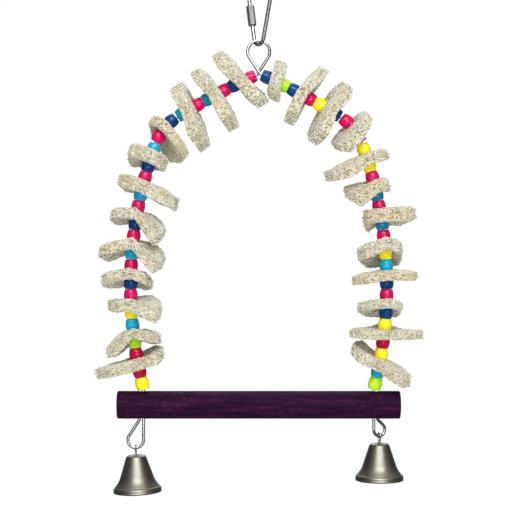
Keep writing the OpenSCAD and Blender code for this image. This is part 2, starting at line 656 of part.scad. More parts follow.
module loofah_chip(side, k) {
    shares = side > 0 ? right_chip_shares[k - 1] : left_chip_shares[k - 1];
    top = chip_points(shares, side, 1);
    bottom = chip_points(shares, side, -1);
    color([0.82, 0.79, 0.67])
    multmatrix(half_turn(side) * on_wire(chip_at(k)) * about_y(180))
    difference() {
        polyhedron(
            points = concat(top, bottom),
            faces = concat(
                face_triangles(0),
                flipped(face_triangles(len(top))),
                rim_triangles(0, len(top))));
        translate([0, 0, -chip_pinch])
            cylinder(d = chip_hole_d, h = 2 * chip_pinch);
    }
}

// Names of the pieces, and one line that draws each
function word(side) = side > 0 ? "right" : "left";
function number(k) = str(k < 10 ? "0" : "", k);

quick_link();
link_nut();
wire_arch();
perch();
for (side = sides) {
    bell_hanger(side);
    bell_shell(side);
    bell_clapper(side);
    top_bead(side);
    for (k = [1:chips_per_side]) {
        bead_pair(side, k);
        loofah_chip(side, k);
    }
}
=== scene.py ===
# %% [markdown]
# # A swing for a cage bird
# The real thing is a wooden perch on a wire arch. Plastic beads and chips of dried loofah are
# strung on the wire, a bell hangs under each end of the perch, and a screw link holds it all up.
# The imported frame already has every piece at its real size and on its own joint. This lesson
# dresses that frame: it gives each piece its finish, and it builds again, in finer detail, the
# pieces whose looks need more than a simple solid.

# %% Load the frame
import json
import math
import bpy
import numpy as np
from mathutils import Matrix, Vector, noise
from mathutils.bvhtree import BVHTree


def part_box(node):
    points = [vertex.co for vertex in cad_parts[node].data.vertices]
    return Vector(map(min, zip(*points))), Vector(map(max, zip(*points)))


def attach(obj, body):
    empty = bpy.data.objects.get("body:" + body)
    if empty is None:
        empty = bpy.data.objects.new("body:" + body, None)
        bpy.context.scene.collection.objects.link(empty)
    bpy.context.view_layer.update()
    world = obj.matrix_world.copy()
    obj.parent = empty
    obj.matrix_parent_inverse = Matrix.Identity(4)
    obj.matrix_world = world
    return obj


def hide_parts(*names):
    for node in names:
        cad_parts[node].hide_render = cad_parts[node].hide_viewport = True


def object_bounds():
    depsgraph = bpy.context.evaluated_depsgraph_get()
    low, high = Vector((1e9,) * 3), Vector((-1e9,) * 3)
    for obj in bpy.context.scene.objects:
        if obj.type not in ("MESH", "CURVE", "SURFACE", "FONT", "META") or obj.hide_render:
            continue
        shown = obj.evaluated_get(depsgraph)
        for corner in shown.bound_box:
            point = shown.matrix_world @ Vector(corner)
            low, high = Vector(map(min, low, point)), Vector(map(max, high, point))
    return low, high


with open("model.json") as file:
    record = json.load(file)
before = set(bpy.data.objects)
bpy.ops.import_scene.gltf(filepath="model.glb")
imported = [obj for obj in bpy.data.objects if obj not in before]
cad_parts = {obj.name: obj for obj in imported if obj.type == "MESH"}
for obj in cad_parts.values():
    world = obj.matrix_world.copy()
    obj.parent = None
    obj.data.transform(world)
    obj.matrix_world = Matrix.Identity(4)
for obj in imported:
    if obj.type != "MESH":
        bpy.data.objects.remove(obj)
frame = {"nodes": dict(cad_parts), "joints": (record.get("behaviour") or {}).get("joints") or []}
cad_low, cad_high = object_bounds()
joints = {joint["name"]: joint for joint in frame["joints"]}
mm = 0.001

# %% [markdown]
# ## The camera
# The photograph was taken level and from straight in front, from about a metre away. One pixel of
# it is 0.65 mm at the swing, which the 9 mm beads show, so the picture's width and the distance
# give the lens. The perch and the top of the wire place the picture's centre.

# %% Camera
picture_pixels = 512
pixel = 0.65 * mm
distance = 957 * mm
centre_from_wire = -1.75 * mm
centre_above_perch = 96.7 * mm

perch_low, perch_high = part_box("perch")
wire_top = Vector(joints["swing_hinge"]["pos_m"])
aim = Vector((
    wire_top.x + centre_from_wire,
    wire_top.y,
    (perch_low.z + perch_high.z) / 2 + centre_above_perch))
camera_data = bpy.data.cameras.new("camera")
camera_data.lens = camera_data.sensor_width * distance / (picture_pixels * pixel)
camera = bpy.data.objects.new("camera", camera_data)
camera.location = aim - Vector((0, distance, 0))
camera.rotation_euler = (math.pi / 2, 0, 0)
bpy.context.scene.collection.objects.link(camera)
bpy.context.scene.camera = camera
print(f"camera: {camera_data.lens:.0f} mm lens, {distance:.2f} m away")

# %% [markdown]
# ## Helpers for meshes
# Beads and bells are round, and could each be a cylinder with modifiers on it. Here they are turned
# as on a lathe: one helper spins an outline about an axis, because then every radius of the section
# is written down. Every point is in the frame's own coordinates, which keeps a texture that reads
# them fixed to the piece when its joint moves.

# %% Mesh helpers
lathe_sides = 72


def link(name, mesh):
    piece = bpy.data.objects.new(name, mesh)
    bpy.context.scene.collection.objects.link(piece)
    return piece


def mesh_from(name, points, faces):
    mesh = bpy.data.meshes.new(name)
    mesh.from_pydata(np.asarray(points, float).tolist(), [], [tuple(map(int, face)) for face in faces])
    mesh.polygons.foreach_set("use_smooth", [True] * len(mesh.polygons))
    mesh.update()
    return mesh


def standing(centre, axis):
    """A frame whose Z runs along the axis."""
    turn = Vector((0, 0, 1)).rotation_difference(Vector(axis))
    return Matrix.Translation(Vector(centre)) @ turn.to_matrix().to_4x4()


def turned(name, outline, place, sides=lathe_sides):
    """Spins a closed outline of (radius, height) points about the Z axis of a place."""
    rings = np.asarray(outline, float)
    angles = np.arange(sides) * 2 * math.pi / sides
    around = np.stack([np.cos(angles), np.sin(angles)], 1)
    flat = rings[:, None, :1] * around[None]
    tall = np.broadcast_to(rings[:, None, 1:], (len(rings), sides, 1))
    points = np.concatenate([flat, tall], 2).reshape(-1, 3)
    matrix = np.array(place)
    points = points @ matrix[:3, :3].T + matrix[:3, 3]
    i, j = np.meshgrid(np.arange(len(rings)), np.arange(sides), indexing="ij")
    i2, j2 = (i + 1) % len(rings), (j + 1) % sides
    faces = np.stack([i * sides + j, i * sides + j2, i2 * sides + j2, i2 * sides + j], -1)
    return link(name, mesh_from(name, points, faces.reshape(-1, 4)))


def arc(centre, radius, start, end, steps):
    """Points on an arc, with angles in degrees."""
    angles = np.radians(np.linspace(start, end, steps + 1))
    return [(centre[0] + radius * math.cos(a), centre[1] + radius * math.sin(a)) for a in angles]


print("lathe:", lathe_sides, "sides")

# %% [markdown]
# ## Helpers for materials
# Each finish is a small graph of shader nodes. `add` puts one node in the graph, sets its
# options and plugs in its inputs. The four steps that every graph repeats, arithmetic, a change of
# range, a mix of two colours and a noise, have a short name each and hand on their result, so
# that a material reads from top to bottom.

# %% Material helpers
def add(tree, kind, inputs=None, **settings):
    """A new node with its options set and its inputs linked or filled in."""
    item = tree.nodes.new(kind)
    for key, value in settings.items():
        setattr(item, key, value)
    for key, value in (inputs or {}).items():
        if isinstance(value, bpy.types.NodeSocket):
            tree.links.new(value, item.inputs[key])
        else:
            item.inputs[key].default_value = value
    return item


def reckon(tree, operation, *values):
    """One step of arithmetic."""
    return add(tree, "ShaderNodeMath", dict(enumerate(values)), operation=operation).outputs[0]


def ramp(tree, value, start, end, low, high, kind="LINEAR"):
    """Takes a value from one range to another. Beyond its ends the result stays level."""
    inputs = {"Value": value, 1: start, 2: end, 3: low, 4: high}
    return add(tree, "ShaderNodeMapRange", inputs, interpolation_type=kind).outputs[0]


def blend(tree, share, first, second):
    """A mix of two colours."""
    return add(tree, "ShaderNodeMix", {0: share, 6: first, 7: second}, data_type="RGBA").outputs[2]


def clouds_of(tree, vector, scale, detail, roughness=0.5):
    """Soft random patches, from 0 to 1."""
    inputs = {"Vector": vector, "Scale": scale, "Detail": detail, "Roughness": roughness}
    return add(tree, "ShaderNodeTexNoise", inputs).outputs["Fac"]


def colour(red, green, blue):
    """A colour as the photograph shows it, from 0 to 255, in the linear light that shaders use."""
    shown = [c / 255 for c in (red, green, blue)]
    return tuple(c / 12.92 if c <= 0.04045 else ((c + 0.055) / 1.055) ** 2.4 for c in shown) + (1,)


def darker(tint, share):
    return tuple(c * share for c in tint[:3]) + (1,)


def new_material(name):
    material = bpy.data.materials.new(name)
    material.use_nodes = True
    tree = material.node_tree
    return material, tree, tree.nodes["Principled BSDF"]


def new_group(name, inputs, outputs):
    tree = bpy.data.node_groups.new(name, "ShaderNodeTree")
    for socket, kind, value in inputs:
        made = tree.interface.new_socket(socket, in_out="INPUT", socket_type=kind)
        made.default_value = value
    for socket, kind in outputs:
        tree.interface.new_socket(socket, in_out="OUTPUT", socket_type=kind)
    return tree, tree.nodes.new("NodeGroupInput"), tree.nodes.new("NodeGroupOutput")


def dress(tree, shader, tint, height, strength, distance, rough=None):
    """Plugs a colour, a relief and, where one is given, a roughness into the shader."""
    relief = add(tree, "ShaderNodeBump", {"Height": height, "Strength": strength, "Distance": distance})
    tree.links.new(tint, shader.inputs["Base Color"])
    tree.links.new(relief.outputs["Normal"], shader.inputs["Normal"])
    if rough is not None:
        tree.links.new(rough, shader.inputs["Roughness"])


print(f"a grey of 128 is {colour(128, 128, 128)[0]:.3f} in linear light")

# %% [markdown]
# ## Wear from handling
# Plated wire, bells and plastic beads all carry fine scuffs and a slightly uneven polish. It could
# be painted on each piece, but noise needs no unwrapping. It is one effect with different
# strengths, so it is a node group. A broad noise moves the roughness and says where the colour
# dulls, and a finer one gives the height for a bump.

# %% Handling wear group
wear_group, wear_in, wear_out = new_group(
    "handling_wear",
    [("Vector", "NodeSocketVector", (0, 0, 0)), ("Patch Size", "NodeSocketFloat", 6 * mm),
     ("Polish", "NodeSocketFloat", 0.2), ("Unevenness", "NodeSocketFloat", 0.1)],
    [(socket, "NodeSocketFloat") for socket in ("Roughness", "Height", "Patches")])
spot, size = wear_in.outputs["Vector"], wear_in.outputs["Patch Size"]
patch_scale = reckon(wear_group, "DIVIDE", 1.0, size)
patches = clouds_of(wear_group, spot, patch_scale, 3.0, 0.6)
centred = reckon(wear_group, "SUBTRACT", patches, 0.5)
rough = reckon(
    wear_group, "MULTIPLY_ADD", centred, wear_in.outputs["Unevenness"], wear_in.outputs["Polish"])
scuff_fineness = 9.0
scuff_scale = reckon(wear_group, "MULTIPLY", patch_scale, scuff_fineness)
scuffs = clouds_of(wear_group, spot, scuff_scale, 5.0, 0.7)
wear_group.links.new(rough, wear_out.inputs["Roughness"])
wear_group.links.new(scuffs, wear_out.inputs["Height"])
wear_group.links.new(patches, wear_out.inputs["Patches"])


def worn(tree, patch, polish, unevenness):
    """The wear group on a material, reading the piece's own coordinates."""
    here = add(tree, "ShaderNodeTexCoord")
    inputs = {
        "Vector": here.outputs["Object"],
        "Patch Size": patch,
        "Polish": polish,
        "Unevenness": unevenness}
    return add(tree, "ShaderNodeGroup", inputs, node_tree=wear_group)


print("group:", wear_group.name)

# %% [markdown]
# ## Light
# The photograph is a catalogue picture: white all round, soft light from the front and above. A
# broad key lamp from the front and above does most of it. A low front lamp opens the shade under
# the beads, a top and a back lamp draw the rims, and a small spark near the camera puts the glints
# on the beads. Bright metal only looks like metal when it has something dark to mirror, and in the
# photograph every wire has dark edges and one bright line. So the room round the swing is a studio
# with dark sides, a pale ceiling, a pale wall behind the camera and a paler backdrop. Only the
# camera sees it as plain white.

# %% Lamps and world
def lamp(name, place, size, power):
    data = bpy.data.lights.new(name, "AREA")
    data.shape = "RECTANGLE"
    data.size, data.size_y = size
    data.energy = power
    item = bpy.data.objects.new(name, data)
    item.location = place
    item.rotation_euler = (aim - Vector(place)).to_track_quat("-Z", "Y").to_euler()
    bpy.context.scene.collection.objects.link(item)


lamp("key", aim + Vector((0.05, -1.10, 0.75)), (1.20, 0.60), 16)
lamp("spark", aim + Vector((0.30, -1.15, 0.12)), (0.10, 0.14), 1.1)
lamp("top", aim + Vector((0.0, -0.15, 1.9)), (1.2, 0.9), 8)
lamp("back", aim + Vector((0.0, 1.2, 1.1)), (1.4, 0.8), 15)
lamp("low", aim + Vector((0.05, -1.05, -0.28)), (0.90, 0.30), 8.5)

world = bpy.data.worlds.new("studio")
world.use_nodes = True
bpy.context.scene.world = world
tree = world.node_tree
where = add(tree, "ShaderNodeTexCoord")
way = add(tree, "ShaderNodeSeparateXYZ", {0: where.outputs["Generated"]})
walls = {
    "front": ("Y", -0.35, -1.0, 0.48),
    "backdrop": ("Y", 0.80, 0.96, 0.70),
    "ceiling": ("Z", 0.30, 0.95, 0.36)}
dark_sides = 0.09
level = dark_sides
for axis_name, start, full, bright in walls.values():
    wall = ramp(tree, way.outputs[axis_name], start, full, 0.0, bright, "SMOOTHSTEP")
    level = reckon(tree, "ADD", level, wall)
seen = add(tree, "ShaderNodeLightPath")
white = reckon(tree, "MAXIMUM", level, seen.outputs["Is Camera Ray"])
background = tree.nodes["Background"]
tree.links.new(white, background.inputs["Strength"])
background.inputs["Color"].default_value = (1, 1, 1, 1)
print("studio:", ", ".join(walls))

# %% [markdown]
# ## Floor
# The swing hangs over a sheet of white paper. A plain white plane would show its far edge and turn
# grey in the distance. So to the camera the paper glows, close by a little less, where it takes a
# faint shadow, and further off fully, so that it melts into the white behind it. Metal mirrors it
# as grey, because the photograph's wires and bells are dark underneath.

# %% Paper floor
floor_drop = 60 * mm
floor_reach = 6
near_reach, far_reach = 0.35, 0.75
floor_z = cad_low.z - floor_drop
floor = link("floor", mesh_from(
    "floor",
    [(x * floor_reach, y * floor_reach, floor_z) for x, y in ((-1, -1), (1, -1), (1, 1), (-1, 1))],
    [(0, 1, 2, 3)]))
paper, tree, shader = new_material("floor_paper")
shader.inputs["Roughness"].default_value = 1
rays = add(tree, "ShaderNodeLightPath")
pale, mirrored = (0.9, 0.9, 0.9, 1), (0.12, 0.12, 0.12, 1)
tree.links.new(blend(tree, rays.outputs["Is Glossy Ray"], pale, mirrored), shader.inputs["Base Color"])
glow = add(tree, "ShaderNodeEmission", {"Color": (1, 1, 1, 1), "Strength": 1.0})
here = add(tree, "ShaderNodeTexCoord")
flat = add(tree, "ShaderNodeVectorMath", {0: here.outputs["Object"], 1: (1, 1, 0)}, operation="MULTIPLY")
away = add(tree, "ShaderNodeVectorMath", {0: flat.outputs[0]}, operation="LENGTH")
share = ramp(tree, away.outputs["Value"], near_reach, far_reach, 0.8, 1.0, "SMOOTHSTEP")
shine = reckon(tree, "MULTIPLY", rays.outputs["Is Camera Ray"], share)
both = add(tree, "ShaderNodeMixShader", {0: shine, 1: shader.outputs[0], 2: glow.outputs[0]})
tree.links.new(both.outputs[0], tree.nodes["Material Output"].inputs["Surface"])
floor.data.materials.append(paper)

view = bpy.context.scene.view_settings
view.view_transform = "Standard"
print(f"floor {floor_drop / mm:.0f} mm under the bells")

# %% [markdown]
# ## Plated steel
# The link, the arch wire and the hangers are bright plated wire, and the bells are duller nickel.
# Plain metal with a low roughness does most of the work. The wear group keeps a long
# reflection from looking like glass. The frame's own meshes have the right shape here, so they
# stay and only take the finish.

# %% Plated steel
plate_patch = 4 * mm
plate_dulling = 0.72
scuff_depth = 0.1 * mm


def plated(name, tint, polish, unevenness, bump):
    material, tree, shader = new_material(name)
    wear = worn(tree, plate_patch, polish, unevenness)
    dulled = blend(tree, wear.outputs["Patches"], tint, darker(tint, plate_dulling))
    dress(tree, shader, dulled, wear.outputs["Height"], bump, scuff_depth, wear.outputs["Roughness"])
    shader.inputs["Metallic"].default_value = 1
    return material


def finish_node(name, material):
    node = frame["nodes"][name]
    node.data.materials.clear()
    node.data.materials.append(material)
    return node


wire_steel = plated("plated_wire", colour(188, 194, 201), 0.24, 0.06, 0.05)
link_steel = plated("plated_link", colour(170, 173, 175), 0.34, 0.10, 0.08)
nut_steel = plated("plated_nut", colour(150, 151, 150), 0.62, 0.10, 0.30)
clapper_steel = plated("plated_clapper", colour(170, 166, 150), 0.28, 0.16, 0.10)
bell_steel = plated("bell_nickel", colour(145, 141, 129), 0.40, 0.08, 0.10)
sides = ("left", "right")
finish_node("wire_arch", wire_steel)
finish_node("quick_link", link_steel)
finish_node("link_nut", nut_steel)
for side in sides:
    finish_node(f"bell_hanger_{side}", wire_steel)
    finish_node(f"bell_clapper_{side}", clapper_steel)
steels = (wire_steel, link_steel, nut_steel, clapper_steel, bell_steel)
print("plated:", ", ".join(steel.name for steel in steels))

# %% [markdown]
# ## The bells
# Each bell is a thin spun shell: a crown with a soft shoulder and a hole for the hanger, a straight
# waist, a flare, and a rolled lip. It is turned here from one closed section, outside and inside,
# because the soft shoulder and the rolled lip are what catch the light.

# %% Turn the bells
def symmetry(points, near):
    """Middle and axis of a turned piece, from its points. The axis is the one closest to `near`."""
    centre = points.mean(0)
    _, ways = np.linalg.eigh(np.cov((points - centre).T))
    way = ways[:, np.argmax(np.abs(np.array(near) @ ways))]
    return centre, way * np.sign(way @ np.array(near))


def node_points(name):
    """Each point of a node's mesh once."""
    return np.unique(np.round([v.co for v in frame["nodes"][name].data.vertices], 7), axis=0)


def bell_section(height, mouth, wall):
    """The shell's closed section in metres: up the outside, over the crown and down the inside."""
    crown, shoulder, hole = 6.75 * mm, 2.3 * mm, 1.8 * mm
    taper, waist_z, flare_r = 16, 11 * mm, 17 * mm
    lip_z, roll = 4.4 * mm, 0.75 * mm
    swell = (mouth - 2.6 * mm, 1.9 * mm)
    swell_out, swell_in = 2.45 * mm, 1.7 * mm
    waist_r = crown + (height - waist_z) * math.tan(math.radians(taper))
    lean = math.radians(taper)
    flare = (waist_r + flare_r * math.cos(lean), waist_z + flare_r * math.sin(lean))
    flare_end = math.degrees(math.asin((flare[1] - lip_z) / flare_r))
    outside = arc((mouth - roll, roll), roll, -90, 40, 8)
    outside += arc(swell, swell_out, 8, 62, 8)
    outside += arc(flare, flare_r, 180 + flare_end, 180 + taper, 14)
    outside += arc((crown - shoulder, height - shoulder), shoulder, taper, 90, 10)
    outside += arc((hole + wall / 2, height - wall / 2), wall / 2, 90, 270, 6)
    inside = arc((crown - shoulder, height - shoulder), shoulder - wall, 90, taper, 8)
    inside += arc(flare, flare_r + wall, 180 + taper, 180 + flare_end, 14)
    inside += arc(swell, swell_in, 62, 8, 6)
    return outside + inside + [(mouth - 1.3 * mm, roll)]


bell_wall = 0.8 * mm
bell_sides = 128
for side in sides:
    name = f"bell_shell_{side}"
    points = node_points(name)
    centre, axis = symmetry(points, (0, 0, 1))
    rise = (points - centre) @ axis
    across = np.linalg.norm(points - centre - np.outer(rise, axis), axis=1)
    foot = Vector(centre + axis * rise.min())
    section = bell_section(np.ptp(rise), across.max(), bell_wall)
    bell = turned(f"bell_{side}", section, standing(foot, axis), bell_sides)
    bell.data.materials.append(bell_steel)
    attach(bell, name)
    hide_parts(name)
    print(f"{name}: {np.ptp(rise) / mm:.1f} mm high, {2 * across.max() / mm:.1f} mm wide")

# %% [markdown]
# ## The perch
# The perch is a dowel dyed a dark purple that lets the grain through as paler streaks along its
# length, and as short reddish dashes where the dye has worn. A picture of wood would need
# unwrapping and would stop at the ends. Noise stretched along X makes both, and a third, even
# noise says where the dye has worn most. The frame's dowel has its holes and eased ends, so it
# stays too.

# %% Dyed wood
dyed_wood, tree, shader = new_material("dyed_wood")
here = add(tree, "ShaderNodeTexCoord")
grain_scale, pore_scale = (40, 420, 420), (330, 1500, 1500)
along = add(tree, "ShaderNodeMapping", {"Vector": here.outputs["Object"], "Scale": grain_scale})
streaks = clouds_of(tree, along.outputs[0], 1.0, 6.0, 0.66)
finer = add(tree, "ShaderNodeMapping", {"Vector": here.outputs["Object"], "Scale": pore_scale})
pores = clouds_of(tree, finer.outputs[0], 1.0, 3.0, 0.6)
blotches = clouds_of(tree, here.outputs["Object"], 45.0, 3.0)
tones = add(tree, "ShaderNodeValToRGB", {"Fac": streaks})
wood_tones = {
    0.34: colour(20, 2, 28),
    0.52: colour(34, 5, 37),
    0.66: colour(53, 11, 48),
    0.76: colour(80, 23, 64)}
for place, tone in wood_tones.items():
    stop = tones.color_ramp.elements.new(place)
    stop.color = tone
tones.color_ramp.elements.remove(tones.color_ramp.elements[0])
tones.color_ramp.elements.remove(tones.color_ramp.elements[-1])
dye = ramp(tree, blotches, 0.42, 0.62, 0.15, 1.0)
dash = ramp(tree, pores, 0.56, 0.72, 0.0, 0.7)
dashes = reckon(tree, "MULTIPLY", dash, dye)
wood_colour = blend(tree, dashes, tones.outputs["Color"], colour(124, 40, 88))
depth = reckon(tree, "ADD", streaks, pores)
gloss = ramp(tree, streaks, 0.3, 0.7, 0.8, 0.6)
grain_depth = 0.4 * mm
dress(tree, shader, wood_colour, depth, 0.35, grain_depth, gloss)
shader.inputs["Specular IOR Level"].default_value = 0.08
perch = finish_node("perch", dyed_wood)
print("perch:", len(perch.data.polygons), "faces")

# %% [markdown]
# ## The beads
# The beads are moulded barrels about 9 mm across: a curved side, flat ends, a wide hole and a
# faint seam round the middle where the mould closed. The frame holds two beads in one node, so each
# bead's place is read back from that node's points: those above the joint's point are the upper
# bead. Typed coordinates would go wrong as soon as the frame changed.

# %% Bead places
def bead_places(node_name):
    """Centre, axis, length and radius of each bead in a node, the upper one first."""
    joint = joints[f"{node_name}_spin"]
    axis, pivot = np.array(joint["axis"]), np.array(joint["pos_m"])
    points = node_points(node_name)
    height = (points - pivot) @ axis
    groups = [points[height > 0], points[height < 0]] if node_name.startswith("bead_pair") else [points]
    found = []
    for group in groups:
        centre, way = symmetry(group, axis)
        reach = (group - centre) @ way
        across = np.linalg.norm((group - centre) - np.outer(reach, way), axis=1)
        centre = centre + way * (reach.max() + reach.min()) / 2
        found.append((Vector(centre), Vector(way), float(np.ptp(reach)), float(across.max())))
    return found


first = bead_places("top_bead_left")[0]
print(f"bead: {first[2] / mm:.2f} mm long, {2 * first[3] / mm:.2f} mm across")

# %% [markdown]
# ### Bead plastic
# Seven dyed plastics. Each is a smooth plastic with the wear group on it, and only the colour
# differs, so one function makes them all. The reflection is kept low, because a full one washes
# the deep colours out under a white sky.

# %% Bead plastic
bead_patch = 3 * mm
bead_mottling = 0.86
bead_tints = {
    "pink": colour(214, 8, 92),
    "crimson": colour(190, 10, 66),
    "navy": colour(0, 62, 122),
    "teal": colour(2, 134, 182),
    "turquoise": colour(10, 168, 208),
    "lime": colour(184, 234, 34),
    "yellow": colour(255, 236, 30)}


def bead_plastic(name, tint):
    material, tree, shader = new_material(f"bead_{name}")
    wear = worn(tree, bead_patch, 0.11, 0.08)
    mottled = blend(tree, wear.outputs["Patches"], darker(tint, bead_mottling), tint)
    dress(tree, shader, mottled, wear.outputs["Height"], 0.06, scuff_depth, wear.outputs["Roughness"])
    shader.inputs["Specular IOR Level"].default_value = 0.32
    return material


bead_finish = {name: bead_plastic(name, tint) for name, tint in bead_tints.items()}
print("bead colours:", ", ".join(bead_finish))

# %% [markdown]
# ### Turn the beads
# A bevelled cylinder would do from far off, but the swelling of the barrel shows, and the seam
# catches the light. So every bead is turned as its own piece from half a section: the hole's wall,
# a flat end, the curved side, and the seam as one raised point at the middle. The colours run from
# the crossing down, as the photograph shows them.

# %% Turn the beads
left_colours = """pink navy pink teal pink turquoise navy pink turquoise navy pink turquoise pink
    navy pink turquoise pink navy pink yellow turquoise lime crimson crimson yellow""".split()
right_colours = """navy lime navy pink yellow navy pink pink yellow yellow pink teal pink
    teal pink yellow turquoise navy pink navy yellow crimson yellow turquoise lime""".split()
bead_colours = {"left": left_colours, "right": right_colours}
end_face_radius = 3.6 * mm
hole_radius = 2.0 * mm
edge_round = 0.22 * mm
bead_swell = 0.2 * mm
seam_half = 0.12 * mm
seam_rise = 0.04 * mm


def bead_outline(length, radius):
    """Half of a barrel's section, from the hole's wall over one end, round the side and back."""
    half = length / 2
    bulge = radius - end_face_radius
    side_r = (half ** 2 + bulge ** 2) / (2 * bulge)
    lean = math.degrees(math.asin((half - edge_round) / side_r))
    middle = (radius - side_r, 0)
    seam = math.degrees(seam_half / side_r)
    upper = arc((hole_radius + edge_round, half - edge_round), edge_round, 180, 90, 3)
    upper += arc((end_face_radius - edge_round, half - edge_round), edge_round, 90, lean, 4)
    upper += arc(middle, side_r, lean - 1, seam, 9)
    upper += [(radius + seam_rise, seam_half / 3)]
    return upper + [(r, -z) for r, z in reversed(upper)]


bead_count = 0
chips_per_side = 12
for side in sides:
    nodes = [f"top_bead_{side}"] + [f"bead_pair_{side}_{k:02d}" for k in range(1, chips_per_side + 1)]
    shades = iter(bead_colours[side])
    for node_name in nodes:
        for centre, axis, length, radius in bead_places(node_name):
            bead_count += 1
            shade = next(shades)
            outline = bead_outline(length + bead_swell, radius)
            bead = turned(f"bead_{bead_count:02d}_{side}", outline, standing(centre, axis))
            bead.data.materials.append(bead_finish[shade])
            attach(bead, node_name)
            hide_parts(node_name)
print("beads:", bead_count)

# %% [markdown]
# ## The loofah chips
# Each chip is a flat, bent piece of dried loofah, a gourd whose flesh is a net of tough fibres.
# A rough surface alone can't open gaps between fibres, and particle hair isn't a mesh that can be
# passed on. So each chip is made of two meshes. The felted mass is the frame's plain chip with a
# torn, pitted surface. The net over it is a set of thin tubes: cords on the mass, hairs on the torn
# rim, frays at the ends that point away, and strays round the middle. Both take the same tones:
# pale and warm clouds, fine dark grains, and painted shade: a darker colour in the pits and
# hollows of the mass and on the loose fibres. Four chips are a little tanner than the rest.

# %% Loofah finish
loofah_group, loofah_in, loofah_out = new_group(
    "loofah_tones",
    [("Vector", "NodeSocketVector", (0, 0, 0)), ("Depth", "NodeSocketFloat", 0.5),
     ("Pale", "NodeSocketColor", colour(226, 220, 198)),
     ("Warm", "NodeSocketColor", colour(196, 178, 136)),
     ("Pit", "NodeSocketColor", colour(128, 100, 62))],
    [("Color", "NodeSocketColor"), ("Height", "NodeSocketFloat")])
spot, pit_tone = loofah_in.outputs["Vector"], loofah_in.outputs["Pit"]
clouds = clouds_of(loofah_group, spot, 190.0, 4.0)
grains = clouds_of(loofah_group, spot, 1500.0, 3.0)
grain_relief = 0.3 * mm
warmth = ramp(loofah_group, clouds, 0.38, 0.66, 0.0, 0.75)
base = blend(loofah_group, warmth, loofah_in.outputs["Pale"], loofah_in.outputs["Warm"])
grainy = ramp(loofah_group, grains, 0.54, 0.66, 0.0, 0.55)
dotted = blend(loofah_group, grainy, base, pit_tone)
# Painted shade: the fourth input darkens towards the pit colour in the hollows of the mass and on loose
# fibres, and on every fibre it also carries a tone that differs at random.
deep = blend(loofah_group, loofah_in.outputs["Depth"], dotted, pit_tone)
loofah_group.links.new(deep, loofah_out.inputs["Color"])
loofah_group.links.new(grains, loofah_out.inputs["Height"])


def loofah(name, pale, warm, pit, bump):
    material, tree, shader = new_material(name)
    here = add(tree, "ShaderNodeTexCoord")
    # This attribute carries painted shade from the mass and the loose fibres, and each fibre's random
    # tone.
    pits = add(tree, "ShaderNodeAttribute", attribute_name="depth")
    inputs = {
        "Vector": here.outputs["Object"],
        "Depth": pits.outputs["Fac"],
        "Pale": pale,
        "Warm": warm,
        "Pit": pit}
    tones = add(tree, "ShaderNodeGroup", inputs, node_tree=loofah_group)
    dress(tree, shader, tones.outputs["Color"], tones.outputs["Height"], bump, grain_relief)
    shader.inputs["Roughness"].default_value = 0.9
    shader.inputs["Sheen Weight"].default_value = 0.25
    shader.inputs["Sheen Roughness"].default_value = 0.5
    return material


felt = loofah("loofah_felt", colour(196, 190, 164), colour(182, 168, 128), colour(140, 114, 68), 0.6)
fibre = loofah("loofah_fibre", colour(213, 215, 203), colour(204, 200, 179), colour(168, 152, 114), 0.3)
tan_fibre = loofah(
    "loofah_tan_fibre", colour(214, 210, 190), colour(205, 196, 165), colour(167, 147, 104), 0.3)
tan_chips = {("left", 4), ("right", 6), ("right", 7), ("right", 9)}
print("loofah:", felt.name, fibre.name, tan_fibre.name)

# %% [markdown]
# ### Felted mass
# The frame's chip is remeshed into small even faces, and each point is then pushed along its
# normal: broad lumps, ridges along the grain, and pits for the pores. Round the rim, notches are
# torn out towards the middle. The hub stays calm, because the wire and the beads sit there. A
# displace modifier could push the points too, but it knows nothing of the hub, the rim and the
# grain. How deep a point lies is kept on the mesh, and the finish paints shade by it, darker in
# the pits, between the ridges and on the low lumps.

# %% Felted mass
voxel = 0.42 * mm
lump_size, lump_rise = 5.0 * mm, 0.2 * mm
pore_size, pore_sink = 1.8 * mm, 0.45 * mm
ridge_width, ridge_length, ridge_rise = 0.9 * mm, 7.0 * mm, 0.22 * mm
notch_size, notch_sink = 1.5 * mm, 1.9 * mm
hub_radius, hub_blend, hub_calm = 5.2 * mm, 1.5 * mm, 0.4
pore_edge = (0.12, 0.42)
rim_turn, rim_band = (0.25, 0.8), (7 * mm, 9 * mm)
tear_edge = (0.0, 0.5)
# How much shade is painted into the pits, between the ridges and on the low lumps.
pit_painted_shade, ridge_painted_shade, lump_painted_shade = 0.55, 0.35, 0.15
no_length = 1e-9


def remeshed(name, node):
    """A copy of a plain chip in small even faces, with its edges eased."""
    mesh = bpy.data.meshes.new(name)
    source = node.data
    mesh.from_pydata([v.co[:] for v in source.vertices], [], [tuple(p.vertices) for p in source.polygons])
    piece = link(name, mesh)
    weld = piece.modifiers.new("weld", "WELD")
    weld.merge_threshold = 0.01 * mm
    remesh = piece.modifiers.new("remesh", "REMESH")
    remesh.mode = "VOXEL"
    remesh.voxel_size = voxel
    ease = piece.modifiers.new("ease", "SMOOTH")
    ease.factor, ease.iterations = 0.5, 5
    bpy.context.view_layer.update()
    made = bpy.data.meshes.new_from_object(piece.evaluated_get(bpy.context.evaluated_depsgraph_get()))
    piece.modifiers.clear()
    piece.data = made
    bpy.data.meshes.remove(mesh)
    return piece


def mesh_arrays(mesh):
    points = np.empty(len(mesh.vertices) * 3)
    mesh.vertices.foreach_get("co", points)
    normals = np.empty(len(mesh.vertices) * 3)
    mesh.vertices.foreach_get("normal", normals)
    return points.reshape(-1, 3), normals.reshape(-1, 3)


def unit(rows):
    """Each row made one long."""
    return rows / np.maximum(np.linalg.norm(rows, axis=-1, keepdims=True), no_length)


def smooth_step(low, high, value):
    t = np.clip((value - low) / (high - low), 0, 1)
    return t * t * (3 - 2 * t)


